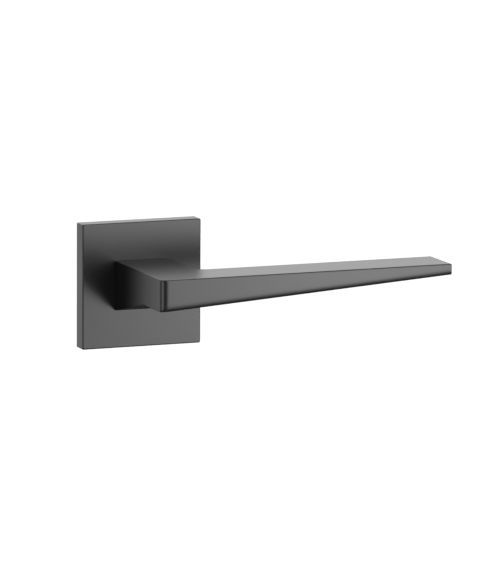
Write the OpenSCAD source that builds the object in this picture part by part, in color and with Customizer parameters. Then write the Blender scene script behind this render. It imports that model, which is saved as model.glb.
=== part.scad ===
// Door lever handle on a slim square rose, one side of the door, with its sprung under-rose,
// spindle and fixings. Millimetres. +Z is up, the grip points to +X, and +Y goes into the door.
// The origin is on the spindle's axis, in the plane of the door's face.

/* [Rose] */
// Width and height of the square rose cover
rose_w = 52; // [52:1:56]
// Height of the rose cover above the door
rose_t = 7; // [7:0.5:8]
// Wall of the pressed cover
cover_wall = 1.4; // [1.2:0.1:1.5]
// Radius of the cover's upright corners
cover_corner_r = 0.7; // [0.4:0.1:1.2]

/* [Lever] */
// Distance from the door to the front of the grip
projection = 60; // [56:1:64]
// Depth of the grip, front to back
grip_depth = 21.4; // [18:0.2:24]
// From the spindle's axis to the tip of the grip
lever_reach = 115.8; // [100:0.2:130]
// Width of the neck
neck_w = 23.4; // [22:0.2:26]
// Top of the neck and the grip above the axis
lever_top = 10.2; // [10.2:0.2:12]
// Underside of the neck below the axis, at the rose
neck_drop = 10.3; // [10.2:0.1:12]
// Underside of the grip below the axis, at the neck end
grip_drop = 3.0; // [2:0.2:5]
// Underside of the grip above the axis, at the tip
tip_rise = 5.6; // [4:0.2:7]
// Upright front corner at the neck end
front_corner_r = 1.7; // [0.8:0.1:3]
// Hollow corner between the neck and the back of the grip
elbow_r = 5; // [3:0.5:8]

/* [Spindle and fixings] */
// Square spindle, across its flats
spindle_w = 8; // [8:0.1:8]
// How far the spindle stands out behind the rose
spindle_out = 50; // [40:1:60]
// Distance between the two threaded posts
post_spacing = 38; // [38:0.1:38.6]
// Radius of the threaded posts
post_r = 3.75; // [3.5:0.05:3.8]
// How far the threaded posts stand out behind the rose
post_out = 7.5; // [5:0.5:12]

/* [Spring] */
// Diameter of the spring wire
wire_d = 1.3; // [1:0.1:1.4]
// Turns of the return spring
spring_turns = 3.25; // [2.25:1:3.25]

/* [Hidden] */
$fn = 64;
eps = 0.01;

// Depths, from the front of the rose back into the door
cover_front = -rose_t;
cover_inside = cover_front + cover_wall;
base_front = cover_inside + 0.1;
neck_back = cover_front - 0.3;
tenon_end = -2.8;
hub_front = -2.6;
hub_flange_back = -1.1;
cup_rim = -0.9;
cup_floor = 5.2;
cup_back = 6;
ring_groove = 7.1;
hub_back = 8.6;

// Radii and widths of the turned and square fits
run_fit = 0.05;
tenon_r = 8.9;
cover_hole_r = 9.9;
bush_r = 10.2;
bush_flange_r = 11.5;
boss_r = 7.9;
hub_flange_r = 11.2;
lug_r = 13.4;
lug_half_angle = 8;
hub_pocket_r = 13.9;
cup_inner_r = 11.7;
cup_outer_r = 12.5;
cup_flange_r = 17.4;
cup_flange_half_w = 14.6;
socket_w = spindle_w + 2 * run_fit;
socket_end = neck_back - 19.5;

// The under-rose
base_w = rose_w - 2 * cover_wall - 0.4;
base_corner_r = 1.5;
base_rim = 2;
web_t = 1.9;
rib_t = 1.6;
pocket_front = base_front + web_t;
boss_plate_r = 18.6;
post_boss_r = 5.2;
screw_boss_r = 3.9;
wood_screw_at = rose_w / 2 - 7.7;
cup_screw_x = 9;
cup_screw_z = 12.6;
cup_screw_r = 1.25;
post_shank_r = 3.4;
post_front = -3;
tapped_r = 1.65;
tapped_front = -2.4;

// Stops at rest and at the lever's full 45 degrees, just clear of the hub's lug
full_turn = 45;
stop_r = 1;
stop_at = 12.4;
stop_clear = 0.6;
stop_half_angle = asin(stop_r / stop_at);
stop_angles = [90 + lug_half_angle + stop_half_angle + stop_clear,
               90 - full_turn - lug_half_angle - stop_half_angle - stop_clear];

// Spring clips in the top and bottom edges of the under-rose
clip_w = 6;
clip_x = 12;
clip_t = 0.4;
clip_r = 2.4;
clip_half_l = 1.7;

// Return spring: the moving leg at the front, the fixed leg at the back
spring_r = 9.8;
spring_front = -0.3;
spring_pitch = 1.45;
moving_leg_angle = 270;
moving_leg_r = 6.6;
fixed_leg_r = 12.4;
leg_slot_w = wire_d + 0.2;
spring_back = spring_front + spring_turns * spring_pitch;
fixed_leg_angle = moving_leg_angle + 360 * spring_turns;

// Grub screw, up through the neck on to the spindle
grub_y = -15;
grub_r = 2.5;
grub_l = 4.4;

steel_grey = [0.62, 0.63, 0.65];
zinc_grey = [0.55, 0.56, 0.57];
graphite = [0.2, 0.2, 0.205];

// ---------- Shapes used by more than one piece ----------

// A flat shape drawn in X and Z, made solid from y0 to y1
module slab(y0, y1) {
  translate([0, y1, 0]) rotate([90, 0, 0]) linear_extrude(y1 - y0) children();
}

// A round bar along Y
module rod(r, y0, y1) {
  translate([0, y0, 0]) rotate([-90, 0, 0]) cylinder(r = r, h = y1 - y0);
}

// A turned shape about the Y axis, from points of [radius, y]
module turned(points) {
  rotate([-90, 0, 0]) rotate_extrude() polygon(points);
}

// A square with rounded corners, exact arcs
module round_square(w, r) {
  square([w, w - 2 * r], center = true);
  square([w - 2 * r, w], center = true);
  for (x = [-1, 1], z = [-1, 1]) translate([x, z] * (w / 2 - r)) circle(r);
}

// Copies at both threaded posts
module at_posts() {
  for (x = [-1, 1]) translate([x * post_spacing / 2, 0, 0]) children();
}

// Copies at the four corner wood screws
module at_wood_screws() {
  for (x = [-1, 1], z = [-1, 1]) translate([x * wood_screw_at, 0, z * wood_screw_at]) children();
}

// Copies at the four screws that hold the spring cup
module at_cup_screws() {
  for (x = [-1, 1], z = [-1, 1]) translate([x * cup_screw_x, 0, z * cup_screw_z]) children();
}

// Copies at the four cover clips, top ones facing up and bottom ones facing down
module at_clips() {
  for (x = [-1, 1], turn = [0, 180]) rotate([0, turn, 0]) translate([x * clip_x, 0, 0]) children();
}

// ---------- The rose ----------

// Pressed square cover: a front wall and a skirt that reaches the door
module rose_cover() {
  color(graphite) difference() {
    slab(cover_front, 0) round_square(rose_w, cover_corner_r);
    slab(cover_inside, eps) round_square(rose_w - 2 * cover_wall, cover_corner_r);
    rod(cover_hole_r, cover_front - 1, 0);
  }
}

// Nylon ring in the cover's hole, which the lever's tenon turns in
module cover_ring() {
  color([0.1, 0.1, 0.1]) difference() {
    rod(cover_hole_r - run_fit, cover_front + 0.05, cover_inside);
    rod(tenon_r + 0.1, cover_front - 1, 0);
  }
}

// Outline of the solid parts behind the under-rose's web
module base_ribs() {
  difference() {
    round_square(base_w, base_corner_r);
    round_square(base_w - 2 * base_rim, base_corner_r);
  }
  circle(boss_plate_r);
  for (x = [-1, 1]) translate([x * post_spacing / 2, 0]) circle(post_boss_r);
  for (x = [-1, 1], z = [-1, 1]) translate([x, z] * wood_screw_at) circle(screw_boss_r);
  for (turn = [45, 135]) rotate(turn) square([base_w * 1.3, rib_t], center = true);
  square([rib_t, base_w - 1], center = true);
}

// Flange of the spring cup, flattened at the sides to pass between the posts
module cup_flange(grow) {
  intersection() {
    circle(cup_flange_r + grow);
    square([2 * (cup_flange_half_w + grow), 50], center = true);
  }
}

// Countersunk seat for a screw head whose face lies at y0
module countersink(head_r, shank_r, y0) {
  turned([[0, y0 - 1], [head_r, y0 - 1], [head_r, y0], [shank_r, y0 + head_r - shank_r], [0, y0 + head_r - shank_r]]);
}

// Die-cast under-rose: a web at the front with a rim, ribs and bosses behind it
module rose_base() {
  color(zinc_grey) difference() {
    union() {
      slab(base_front, pocket_front) round_square(base_w, base_corner_r);
      intersection() {
        slab(base_front, 0) base_ribs();
        slab(base_front, 0) round_square(base_w, base_corner_r);
      }
    }
    rod(bush_r, base_front - 1, 1);
    rod(bush_flange_r, base_front - 1, base_front + 0.8);
    rod(hub_pocket_r, tenon_end - 0.1, 1);
    slab(cup_rim, 1) cup_flange(0.15);
    at_posts() rod(post_shank_r, post_front, 1);
    at_wood_screws() rod(2, base_front - 1, 1);
    at_wood_screws() countersink(3.5, 2, base_front + 0.3);
    at_cup_screws() rod(cup_screw_r, cup_rim - 3.2, 1);
    for (angle = stop_angles)
      translate([stop_at * cos(angle), 0, stop_at * sin(angle)]) rod(stop_r, -4.3, 0);
    at_clips() translate([-clip_w / 2 - 0.2, -4.5, base_w / 2 - 1.6]) cube([clip_w + 0.4, 3.9, 3]);
  }
}

// Steel posts pressed into the under-rose, tapped M4 for the bolts from the door's other side
module threaded_posts() {
  color(steel_grey) at_posts() difference() {
    union() {
      rod(post_shank_r - eps, post_front, 0);
      rod(post_r, 0, post_out);
    }
    rod(tapped_r, tapped_front, post_out + 1);
  }
}

// Flanged nylon bush that carries the tenon
module bearing_bush() {
  color([0.9, 0.9, 0.87]) turned([
    [tenon_r + run_fit, base_front], [bush_flange_r - 0.05, base_front],
    [bush_flange_r - 0.05, base_front + 0.75], [bush_r - 0.02, base_front + 0.75],
    [bush_r - 0.02, tenon_end - 0.15], [tenon_r + run_fit, tenon_end - 0.15]]);
}

// Hardened dowels that the hub's lug stops against
module stop_pins() {
  color(steel_grey) for (angle = stop_angles)
    translate([stop_at * cos(angle), 0, stop_at * sin(angle)]) rod(stop_r - eps, -4.3, cup_rim - 0.1);
}

// Bowed leaf springs that grip the inside of the cover
module cover_clips() {
  color(steel_grey) at_clips()
    translate([-clip_w / 2, -2.55, base_w / 2 + 0.17 - clip_r]) rotate([90, 0, 90]) linear_extrude(clip_w)
      intersection() {
        difference() {
          circle(clip_r);
          circle(clip_r - clip_t);
        }
        translate([-clip_half_l, 0]) square([2 * clip_half_l, clip_r + 1]);
      }
}

// ---------- The return-spring cartridge ----------

// Drawn steel cup that holds the spring and carries the back of the hub
module spring_cup() {
  color(steel_grey) difference() {
    union() {
      slab(cup_rim, 0) cup_flange(0);
      rod(cup_outer_r, cup_rim, cup_back);
    }
    rod(cup_inner_r, cup_rim - 1, cup_floor);
    rod(boss_r + run_fit, cup_floor - 1, cup_back + 1);
    at_cup_screws() rod(cup_screw_r + 0.1, cup_rim - 1, 1);
    at_cup_screws() mirror([0, 1, 0]) countersink(2.05, cup_screw_r + 0.1, 0);
    rotate([0, -fixed_leg_angle, 0])
      translate([cup_inner_r - 0.5, spring_back - leg_slot_w / 2, -leg_slot_w / 2])
        cube([2, leg_slot_w, leg_slot_w]);
  }
}

// Countersunk screws, flush with the back of the rose
module cup_screws() {
  color(steel_grey) at_cup_screws() difference() {
    turned([[0, -4], [cup_screw_r - 0.3, -4], [cup_screw_r - eps, -3.6], [cup_screw_r - eps, -0.75],
            [1.95, -0.05], [0, -0.05]]);
    for (turn = [0, 90]) rotate([0, turn, 0]) translate([-1.1, -0.7, -0.2]) cube([2.2, 2, 0.4]);
  }
}

// Centre line of the spring: in along the hub's slot, round the coil, and out through the cup
function polar_point(r, angle, y) = [r * cos(angle), y, r * sin(angle)];
function spring_route() = let (n = ceil(24 * spring_turns)) concat(
  [for (r = [moving_leg_r : 0.75 : spring_r - 0.9]) polar_point(r, moving_leg_angle, spring_front)],
  [polar_point(spring_r - 0.25, moving_leg_angle + 2, spring_front)],
  [for (i = [1 : n - 1]) polar_point(spring_r, moving_leg_angle + 360 * spring_turns * i / n,
                                     spring_front + (spring_back - spring_front) * i / n)],
  [polar_point(spring_r + 0.25, fixed_leg_angle - 2, spring_back)],
  [for (r = [spring_r + 0.8 : 0.6 : fixed_leg_r]) polar_point(r, fixed_leg_angle, spring_back)]);

// A wire of 8 sides swept along a route that never runs along Y
module swept_wire(route, d) {
  sides = 8;
  n = len(route);
  rings = [for (i = [0 : n - 1]) let (
    step = route[min(i + 1, n - 1)] - route[max(i - 1, 0)],
    along = step / norm(step),
    out = cross(along, [0, 1, 0]) / norm(cross(along, [0, 1, 0])),
    up = cross(out, along))
    for (k = [0 : sides - 1]) route[i] + d / 2 * (out * cos(360 * k / sides) + up * sin(360 * k / sides))];
  skin = [for (i = [0 : n - 2], k = [0 : sides - 1]) let (
    a = i * sides + k, b = i * sides + (k + 1) % sides)
    [[a, a + sides, b + sides], [a, b + sides, b]]];
  walls = [for (pair = skin, face = pair) face];
  polyhedron(points = rings,
             faces = concat(walls, [[for (k = [0 : sides - 1]) k]],
                            [[for (k = [sides - 1 : -1 : 0]) (n - 1) * sides + k]]));
}

// Torsion spring that brings the lever back up
module return_spring() {
  color([0.35, 0.36, 0.38]) swept_wire(spring_route(), wire_d);
}

// ---------- Fixings ----------

// Countersunk screw body with its head's face at y0, shank to y1
module screw_body(head_r, shank_r, y0, y1, tip) {
  turned([[0, y0], [head_r, y0], [shank_r, y0 + head_r - shank_r], [shank_r, y1 - tip],
          [max(shank_r - tip, 0.2), y1], [0, y1]]);
}

// Short wood screws at the corners of the under-rose
module wood_screws() {
  color([0.72, 0.64, 0.4]) at_wood_screws() difference() {
    screw_body(3.3, 1.6, base_front + 0.35, 12, 4);
    for (turn = [0, 90]) rotate([0, turn, 0]) translate([-1.8, base_front, -0.35]) cube([3.6, 1.6, 0.7]);
  }
}

// ---------- The lever and what turns with it ----------

// Outline of the neck and the grip from above
module lever_plan() {
  left = -neck_w / 2;
  front = -projection;
  back = front + grip_depth;
  difference() {
    union() {
      translate([left + front_corner_r, front]) square([lever_reach - left - front_corner_r, grip_depth]);
      translate([left, front + front_corner_r]) square([neck_w, neck_back - front - front_corner_r]);
      translate([left + front_corner_r, front + front_corner_r]) circle(front_corner_r);
      translate([neck_w / 2 - eps, back - eps]) square(elbow_r + eps);
    }
    translate([neck_w / 2 + elbow_r, back + elbow_r]) circle(elbow_r);
  }
}

// Outline of the grip from the front: level on top, tapering from below
module grip_face() {
  left = -neck_w / 2;
  polygon([[left, -grip_drop], [lever_reach, tip_rise], [lever_reach, lever_top], [left, lever_top]]);
}

// Underside of the neck, from the level edge at the rose to the slope under the grip
module neck_wedge() {
  slope = (tip_rise + grip_drop) / (lever_reach + neck_w / 2);
  edge = neck_w / 2 + elbow_r;
  grip_back = grip_depth - projection;
  hull() {
    translate([-neck_w / 2, neck_back - 0.2, -neck_drop]) cube([edge + neck_w / 2, 0.2, neck_drop + lever_top]);
    slab(grip_back - 1, grip_back - 0.9)
      polygon([[-neck_w / 2, -grip_drop], [edge, -grip_drop + slope * (edge + neck_w / 2)],
               [edge, lever_top], [-neck_w / 2, lever_top]]);
  }
}

// The lever casting: grip, neck, and the tenon that turns in the rose
module lever() {
  color(graphite) difference() {
    union() {
      intersection() {
        translate([0, 0, -neck_drop]) linear_extrude(neck_drop + lever_top) lever_plan();
        union() {
          slab(-projection, grip_depth - projection) grip_face();
          neck_wedge();
        }
      }
      rod(tenon_r, neck_back - 0.1, tenon_end);
    }
    translate([-socket_w / 2, socket_end, -socket_w / 2]) cube([socket_w, tenon_end - socket_end + 1, socket_w]);
    translate([0, grub_y, -neck_drop - 1]) cylinder(r = grub_r, h = neck_drop + 1);
  }
}

// Hexagon-socket set screw that clamps the spindle
module grub_screw() {
  top = -spindle_w / 2;
  color([0.15, 0.15, 0.16]) translate([0, grub_y, top - grub_l]) difference() {
    rotate_extrude() polygon([[0, 0], [grub_r - 0.35, 0], [grub_r - 0.05, 0.3],
                              [grub_r - 0.05, grub_l - 0.7], [grub_r - 0.7, grub_l], [0, grub_l]]);
    translate([0, 0, -1]) cylinder(r = 1.45, h = 3, $fn = 6);
  }
}

// Square steel bar with broken corners, through the hub and the door
module spindle() {
  color(steel_grey) intersection() {
    slab(socket_end + 0.3, spindle_out) square(spindle_w, center = true);
    slab(socket_end + 0.3, spindle_out) rotate(45) square(spindle_w * sqrt(2) - 0.8, center = true);
  }
}

// Follower: a flange with the stop lug, and a boss that the spring's moving leg hooks into
module drive_hub() {
  color(zinc_grey) difference() {
    union() {
      slab(hub_front, hub_flange_back) {
        circle(hub_flange_r);
        intersection() {
          circle(lug_r);
          polygon([[0, 0], lug_r * 1.2 * [sin(lug_half_angle), cos(lug_half_angle)],
                   lug_r * 1.2 * [-sin(lug_half_angle), cos(lug_half_angle)]]);
        }
      }
      rod(boss_r, hub_flange_back - 0.1, hub_back);
    }
    translate([-socket_w / 2, hub_front - 1, -socket_w / 2]) cube([socket_w, hub_back - hub_front + 2, socket_w]);
    translate([-leg_slot_w / 2, hub_flange_back, -boss_r - 1])
      cube([leg_slot_w, spring_front - hub_flange_back + leg_slot_w / 2, boss_r + 1 - moving_leg_r + wire_d]);
    difference() {
      rod(boss_r + 1, ring_groove, ring_groove + 0.7);
      rod(boss_r - 0.7, ring_groove - 1, ring_groove + 1.7);
    }
  }
}

// Flat steel washer behind the cup
module thrust_washer() {
  color(steel_grey) difference() {
    rod(11, cup_back + 0.05, cup_back + 0.45);
    rod(boss_r + 0.1, 0, 10);
  }
}

// Spring washer that takes up the end float
module wave_washer() {
  color(steel_grey) difference() {
    rod(10.6, cup_back + 0.5, cup_back + 1.05);
    rod(boss_r + 0.15, 0, 10);
  }
}

// Snap ring with two eyes, in the hub's groove
module retaining_ring() {
  ring_outer_r = 9.6;
  eye_at = 9.2;
  eye_angle = 17;
  color([0.2, 0.2, 0.21]) slab(ring_groove + 0.03, ring_groove + 0.67) difference() {
    union() {
      circle(ring_outer_r);
      for (side = [-1, 1]) rotate(90 + side * eye_angle) translate([eye_at, 0]) circle(1.5);
    }
    circle(boss_r - 0.65);
    polygon([[0, 0], 20 * [sin(11), cos(11)], 20 * [-sin(11), cos(11)]]);
    for (side = [-1, 1]) rotate(90 + side * eye_angle) translate([eye_at + 0.1, 0]) circle(0.7);
  }
}

rose_cover();
cover_ring();
rose_base();
threaded_posts();
bearing_bush();
stop_pins();
cover_clips();
spring_cup();
cup_screws();
return_spring();
wood_screws();
lever();
grub_screw();
spindle();
drive_hub();
thrust_washer();
wave_washer();
retaining_ring();
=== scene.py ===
import math

import bmesh
import bpy
from mathutils import Matrix, Quaternion, Vector


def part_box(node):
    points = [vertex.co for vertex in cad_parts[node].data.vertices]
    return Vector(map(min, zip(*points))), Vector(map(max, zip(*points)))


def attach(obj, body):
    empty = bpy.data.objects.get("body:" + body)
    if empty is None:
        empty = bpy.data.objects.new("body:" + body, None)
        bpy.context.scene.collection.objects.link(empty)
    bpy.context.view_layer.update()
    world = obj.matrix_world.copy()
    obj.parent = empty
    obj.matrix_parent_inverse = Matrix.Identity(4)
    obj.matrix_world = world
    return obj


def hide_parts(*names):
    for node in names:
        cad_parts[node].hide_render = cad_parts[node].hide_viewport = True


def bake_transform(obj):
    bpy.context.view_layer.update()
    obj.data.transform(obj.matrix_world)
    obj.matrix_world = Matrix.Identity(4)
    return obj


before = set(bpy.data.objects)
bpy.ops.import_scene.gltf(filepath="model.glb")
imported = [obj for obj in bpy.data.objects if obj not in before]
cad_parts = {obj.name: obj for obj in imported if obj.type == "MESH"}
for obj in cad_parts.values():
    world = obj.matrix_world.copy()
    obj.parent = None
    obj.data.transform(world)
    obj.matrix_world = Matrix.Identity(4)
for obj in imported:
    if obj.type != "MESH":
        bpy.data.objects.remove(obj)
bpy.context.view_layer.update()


# ---------- Under-rose ----------
# The hidden plate that everything else is built on: a zinc die casting with a rim, ribs and
# bosses behind a thin web. It is cast in one shot, so its edges are soft and its skin is grainy.
# Four wood screws or two through bolts hold it to the door.

MM = 0.001


def new_material(name):
    """A new material, with its node tree and its shader."""
    material = bpy.data.materials.new(name)
    material.use_nodes = True
    shader = material.node_tree.nodes["Principled BSDF"]
    return material, material.node_tree, shader


def new_group(name, inputs, outputs):
    """A shader node group with named sockets, and its two end nodes. The inputs are (name, type, value)
    and the outputs (name, type)."""
    group = bpy.data.node_groups.new(name, "ShaderNodeTree")
    for label, kind, value in inputs:
        socket = group.interface.new_socket(label, in_out="INPUT", socket_type=kind)
        socket.default_value = value
    for label, kind in outputs:
        group.interface.new_socket(label, in_out="OUTPUT", socket_type=kind)
    return group, group.nodes.new("NodeGroupInput"), group.nodes.new("NodeGroupOutput")


def place_group(tree, group, **values):
    """The group as a node of that material, with its inputs set by name (spaces as underscores)."""
    node = tree.nodes.new("ShaderNodeGroup")
    node.node_tree = group
    for label, value in values.items():
        node.inputs[label.replace("_", " ")].default_value = value
    return node


def math_node(tree, operation, a, b=0.5):
    """A Math node on two sockets or numbers; returns its output."""
    node = tree.nodes.new("ShaderNodeMath")
    node.operation = operation
    for i, value in enumerate((a, b)):
        if isinstance(value, (int, float)):
            node.inputs[i].default_value = value
        else:
            tree.links.new(value, node.inputs[i])
    return node.outputs[0]


def noise_node(tree, vector, scale, detail=3.0, rough=0.5):
    """A Noise Texture on object coordinates; scale is a number or a socket."""
    node = tree.nodes.new("ShaderNodeTexNoise")
    tree.links.new(vector, node.inputs["Vector"])
    if isinstance(scale, (int, float)):
        node.inputs["Scale"].default_value = scale
    else:
        tree.links.new(scale, node.inputs["Scale"])
    node.inputs["Detail"].default_value = detail
    node.inputs["Roughness"].default_value = rough
    return node.outputs["Fac"]


def make_surface_grain():
    """Fine relief and a slow drift of gloss, which every finish here has in its own amount."""
    fine_share = 0.35
    group, given, result = new_group(
        "surface_grain",
        [("Grain Scale", "NodeSocketFloat", 3000.0), ("Grain Depth", "NodeSocketFloat", 0.00001),
         ("Gloss", "NodeSocketFloat", 0.4), ("Gloss Spread", "NodeSocketFloat", 0.05),
         ("Patch Scale", "NodeSocketFloat", 60.0)],
        [("Roughness", "NodeSocketFloat"), ("Normal", "NodeSocketVector"), ("Patch", "NodeSocketFloat")])
    place = group.nodes.new("ShaderNodeTexCoord").outputs["Object"]
    fine = noise_node(group, place, given.outputs["Grain Scale"], 4.0, 0.6)
    patch = noise_node(group, place, given.outputs["Patch Scale"], 3.0, 0.55)
    bump = group.nodes.new("ShaderNodeBump")
    bump.inputs["Strength"].default_value = 1.0
    group.links.new(fine, bump.inputs["Height"])
    group.links.new(given.outputs["Grain Depth"], bump.inputs["Distance"])
    mixed = math_node(group, "ADD", math_node(group, "MULTIPLY", fine, fine_share),
                      math_node(group, "MULTIPLY", patch, 1 - fine_share))
    drift = math_node(group, "MULTIPLY", math_node(group, "SUBTRACT", mixed, 0.5),
                      given.outputs["Gloss Spread"])
    gloss = math_node(group, "ADD", math_node(group, "MULTIPLY", drift, 2.0), given.outputs["Gloss"])
    group.links.new(gloss, result.inputs["Roughness"])
    group.links.new(bump.outputs["Normal"], result.inputs["Normal"])
    group.links.new(patch, result.inputs["Patch"])
    return group


surface_grain = make_surface_grain()


def make_edge_rub():
    """Where handling or tumbling has rubbed the rounded edges: 1 on them in broken patches, else 0."""
    group, given, result = new_group(
        "edge_rub",
        [("Amount", "NodeSocketFloat", 0.5), ("Break Scale", "NodeSocketFloat", 900.0)],
        [("Mask", "NodeSocketFloat")])
    edge = group.nodes.new("ShaderNodeAttribute")
    edge.attribute_name = "rounded_edge"
    place = group.nodes.new("ShaderNodeTexCoord").outputs["Object"]
    broken = noise_node(group, place, given.outputs["Break Scale"], 3.0, 0.6)
    lifted = math_node(group, "MULTIPLY", broken, edge.outputs["Fac"])
    group.links.new(math_node(group, "MULTIPLY", lifted, given.outputs["Amount"]), result.inputs["Mask"])
    return group


edge_rub = make_edge_rub()


def tint(tree, low, high, factor):
    """A colour between low and high by a factor socket."""
    mix = tree.nodes.new("ShaderNodeMix")
    mix.data_type = "RGBA"
    sockets = {socket.identifier: socket for socket in mix.inputs}
    sockets["A_Color"].default_value = (*low, 1)
    sockets["B_Color"].default_value = (*high, 1)
    tree.links.new(factor, sockets["Factor_Float"])
    return next(socket for socket in mix.outputs if socket.identifier == "Result_Color")


def finish_coat(name, low, high, gloss, spread, grain_scale, grain_depth, rub=0.3, patch_scale=60.0,
                metallic=1.0, marks=None, mark_depth=0.0):
    """A finish: its colour drifts from low to high, with grain, and rubbed edges are high. marks is a
    group of tool marks, as deep as mark_depth."""
    material, tree, shader = new_material(name)
    shader.inputs["Metallic"].default_value = metallic
    grain = place_group(tree, surface_grain, Grain_Scale=grain_scale, Grain_Depth=grain_depth,
                        Gloss=gloss, Gloss_Spread=spread, Patch_Scale=patch_scale)
    worn = place_group(tree, edge_rub, Amount=rub)
    drift = math_node(tree, "ADD", math_node(tree, "MULTIPLY", grain.outputs["Patch"], 0.5),
                      worn.outputs["Mask"])
    tree.links.new(tint(tree, low, high, drift), shader.inputs["Base Color"])
    tree.links.new(grain.outputs["Roughness"], shader.inputs["Roughness"])
    normal = grain.outputs["Normal"]
    if marks:
        lines = tree.nodes.new("ShaderNodeBump")
        lines.inputs["Distance"].default_value = mark_depth
        tree.links.new(place_group(tree, marks).outputs["Height"], lines.inputs["Height"])
        tree.links.new(normal, lines.inputs["Normal"])
        normal = lines.outputs["Normal"]
    tree.links.new(normal, shader.inputs["Normal"])
    return material


zinc_casting = finish_coat("zinc_casting", low=(0.30, 0.31, 0.33), high=(0.50, 0.51, 0.53),
                           gloss=0.42, spread=0.12, grain_scale=2600.0, grain_depth=0.00003,
                           rub=0.5, patch_scale=180.0)


def object_from(form, name):
    """The bmesh as an object in the scene."""
    mesh = bpy.data.meshes.new(name)
    form.to_mesh(mesh)
    form.free()
    thing = bpy.data.objects.new(name, mesh)
    bpy.context.scene.collection.objects.link(thing)
    return thing


def result_of(thing):
    """The bmesh that an object's modifiers make of it; the object goes."""
    graph = bpy.context.evaluated_depsgraph_get()
    form = bmesh.new()
    form.from_mesh(thing.evaluated_get(graph).to_mesh())
    bpy.data.objects.remove(thing)
    return form


def finish_form(form, piece, material, crease=35.0):
    """The bmesh as a finished piece: flat faces shade flat, and edges over the crease angle stay sharp."""
    for face in form.faces:
        face.smooth = True
    for edge in form.edges:
        if len(edge.link_faces) == 2:
            edge.smooth = edge.smooth and edge.calc_face_angle() < math.radians(crease)
    rough = object_from(form, piece + "_rough")
    shading = rough.modifiers.new("flat faces shade flat", "WEIGHTED_NORMAL")
    shading.keep_sharp = True
    graph = bpy.context.evaluated_depsgraph_get()
    mesh = bpy.data.meshes.new_from_object(rough.evaluated_get(graph), depsgraph=graph)
    bpy.data.objects.remove(rough)
    mesh.name = piece
    mesh.materials.clear()
    mesh.materials.append(material)
    finished = bpy.data.objects.new(piece, mesh)
    bpy.context.scene.collection.objects.link(finished)
    return finished


def soften(node, width, segments=2, least_angle=40.0):
    """A bmesh of a CAD node with its edges rounded where they turn by more than least_angle. width is a
    radius in metres, or a function of an edge's middle that gives one."""
    same_point = 0.002 * MM
    no_length = 0.001 * MM
    form = bmesh.new()
    form.from_mesh(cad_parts[node].data)
    bmesh.ops.remove_doubles(form, verts=form.verts, dist=same_point)
    weights = form.edges.layers.float.new("bevel_weight_edge")
    widths = {}
    for edge in form.edges:
        if len(edge.link_faces) == 2 and edge.calc_face_angle() > math.radians(least_angle):
            middle = (edge.verts[0].co + edge.verts[1].co) / 2
            widths[edge] = width(middle) if callable(width) else width
    widest = max(widths.values())
    for edge, radius in widths.items():
        edge[weights] = radius / widest
    rough = object_from(form, node + "_rough")
    # The bevel gives its own faces the second of two like slots, which tells them from the rest
    rough.data.materials.append(zinc_casting)
    rough.data.materials.append(zinc_casting)
    bevel = rough.modifiers.new("rounded edges", "BEVEL")
    bevel.limit_method = "WEIGHT"
    bevel.width = widest
    bevel.segments = segments
    bevel.use_clamp_overlap = False
    bevel.loop_slide = False
    bevel.material = 1
    softened = result_of(rough)
    bmesh.ops.dissolve_degenerate(softened, edges=softened.edges, dist=no_length)
    edge_layer = softened.faces.layers.int.new("rounded_edge")
    for face in softened.faces:
        face[edge_layer] = face.material_index
        face.material_index = 0
    return softened


def hand_in(piece, body, node):
    """The finished piece moves with its body and stands for its CAD node."""
    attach(piece, body)
    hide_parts(node)


under_rose = finish_form(soften("rose_base", 0.12 * MM), "under_rose", zinc_casting)
hand_in(under_rose, "rose", "rose_base")


# ---------- Threaded posts ----------
# Two zinc-plated steel posts pressed into the under-rose, turned from bar and tapped M4. The bolts
# from the far side of the door pull on their threads.

plated_steel = finish_coat("plated_steel", low=(0.50, 0.54, 0.60), high=(0.70, 0.71, 0.73),
                           gloss=0.27, spread=0.10, grain_scale=3800.0, grain_depth=0.000006,
                           rub=0.4, patch_scale=260.0)


def rounded_profile(corners, closed):
    """A turned piece's profile from (radius, y, edge radius) corners, in metres. Gives (radius, y)
    points, and the numbers of the points that are followed by a piece of a rounded edge."""
    points = []
    arcs = set()
    arc_points = 5
    last = len(corners) - 1
    for i, (r, y, edge) in enumerate(corners):
        if edge == 0 or (not closed and i in (0, last)):
            points.append((r, y))
            continue
        here = Vector((r, y))
        to_before = (Vector(corners[i - 1][:2]) - here).normalized()
        to_after = (Vector(corners[(i + 1) % len(corners)][:2]) - here).normalized()
        run = edge / math.tan(to_before.angle(to_after) / 2)
        start = here + to_before * run
        end = here + to_after * run
        for k in range(arc_points):
            t = k / (arc_points - 1)
            bend = start * (1 - t) ** 2 + here * 2 * t * (1 - t) + end * t ** 2
            if k < arc_points - 1:
                arcs.add(len(points))
            points.append((bend.x, bend.y))
    return points, arcs


def skin(loops, close=True, rounded=()):
    """A bmesh over loops with the same number of points, the last joined to the first if close. Bands
    whose number is in rounded carry the rounded_edge attribute. Gives the bmesh and its rings."""
    form = bmesh.new()
    edge_layer = form.faces.layers.int.new("rounded_edge")
    rings = [[form.verts.new(point) for point in loop] for loop in loops]
    count = len(loops[0])
    for band in range(len(rings) if close else len(rings) - 1):
        here = rings[band]
        there = rings[(band + 1) % len(rings)]
        for i in range(count):
            j = (i + 1) % count
            face = form.faces.new((here[i], here[j], there[j], there[i]))
            face[edge_layer] = 1 if band in rounded else 0
    return form, rings


def turn_out(form):
    """Merges doubled points and turns every face outwards."""
    same_point = 0.0005 * MM
    bmesh.ops.remove_doubles(form, verts=form.verts, dist=same_point)
    bmesh.ops.recalc_face_normals(form, faces=form.faces)
    return form


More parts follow.
